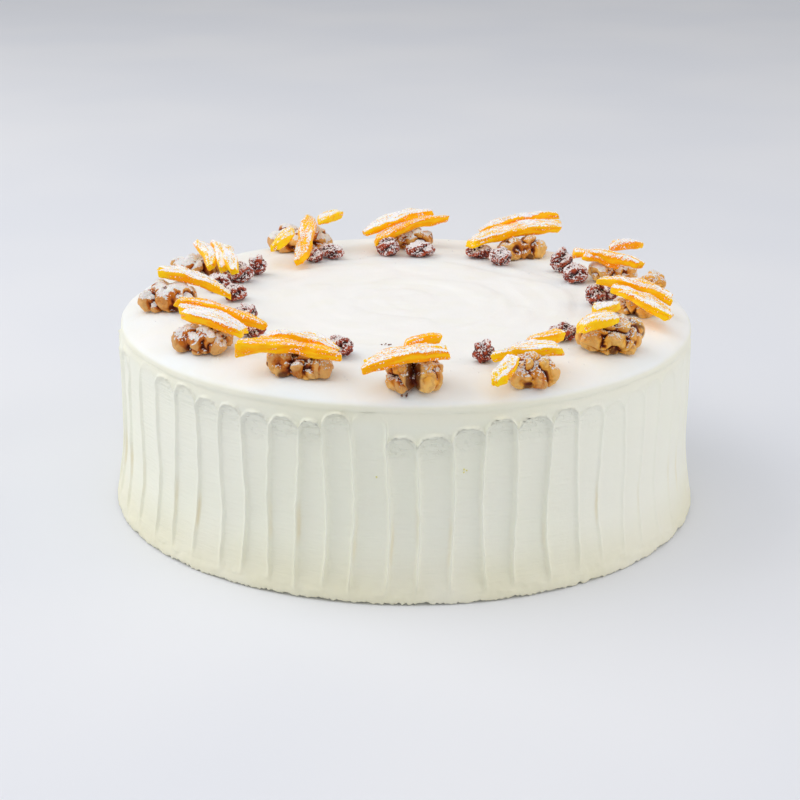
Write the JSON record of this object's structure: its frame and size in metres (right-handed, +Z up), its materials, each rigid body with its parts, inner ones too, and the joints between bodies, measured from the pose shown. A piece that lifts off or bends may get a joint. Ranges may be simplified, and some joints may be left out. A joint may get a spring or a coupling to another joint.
{
  "type": "iced carrot cake",
  "caption": "Round iced cake with upright spatula strokes round its wall, topped near its edge by a ring of walnut halves, raisins and sugared strips of candied peel.",
  "frame": {"origin": "centre of the cake's flat underside", "axes": "+Z up through the iced top, -Y towards the viewer of the front, +X to that viewer's right"},
  "size_m": [0.2692, 0.2692, 0.1106],
  "materials": {
    "icing": "satin",
    "walnut": "matte",
    "raisin": "satin",
    "peel": "satin"
  },
  "bodies": {
    "root": {"iced_cake": "icing", "walnut_01": "walnut", "walnut_02": "walnut", "walnut_03": "walnut", "walnut_04": "walnut", "walnut_05": "walnut", "walnut_06": "walnut", "walnut_07": "walnut", "walnut_08": "walnut", "walnut_09": "walnut", "walnut_10": "walnut", "walnut_11": "walnut", "walnut_12": "walnut", "walnut_13": "walnut", "raisin_01": "raisin", "raisin_02": "raisin", "raisin_03": "raisin", "raisin_04": "raisin", "raisin_05": "raisin", "raisin_06": "raisin", "raisin_07": "raisin", "raisin_08": "raisin", "raisin_09": "raisin", "raisin_10": "raisin", "raisin_11": "raisin", "raisin_12": "raisin", "raisin_13": "raisin", "raisin_14": "raisin", "raisin_15": "raisin", "raisin_16": "raisin", "raisin_17": "raisin", "raisin_18": "raisin", "raisin_19": "raisin", "peel_01": "peel", "peel_02": "peel", "peel_03": "peel", "peel_04": "peel", "peel_05": "peel", "peel_06": "peel", "peel_07": "peel", "peel_08": "peel", "peel_09": "peel", "peel_10": "peel", "peel_11": "peel", "peel_12": "peel", "peel_13": "peel", "peel_14": "peel", "peel_15": "peel", "peel_16": "peel", "peel_17": "peel", "peel_18": "peel", "peel_19": "peel", "peel_20": "peel", "peel_21": "peel", "peel_22": "peel", "peel_23": "peel", "peel_24": "peel"}
  },
  "joints": []
}
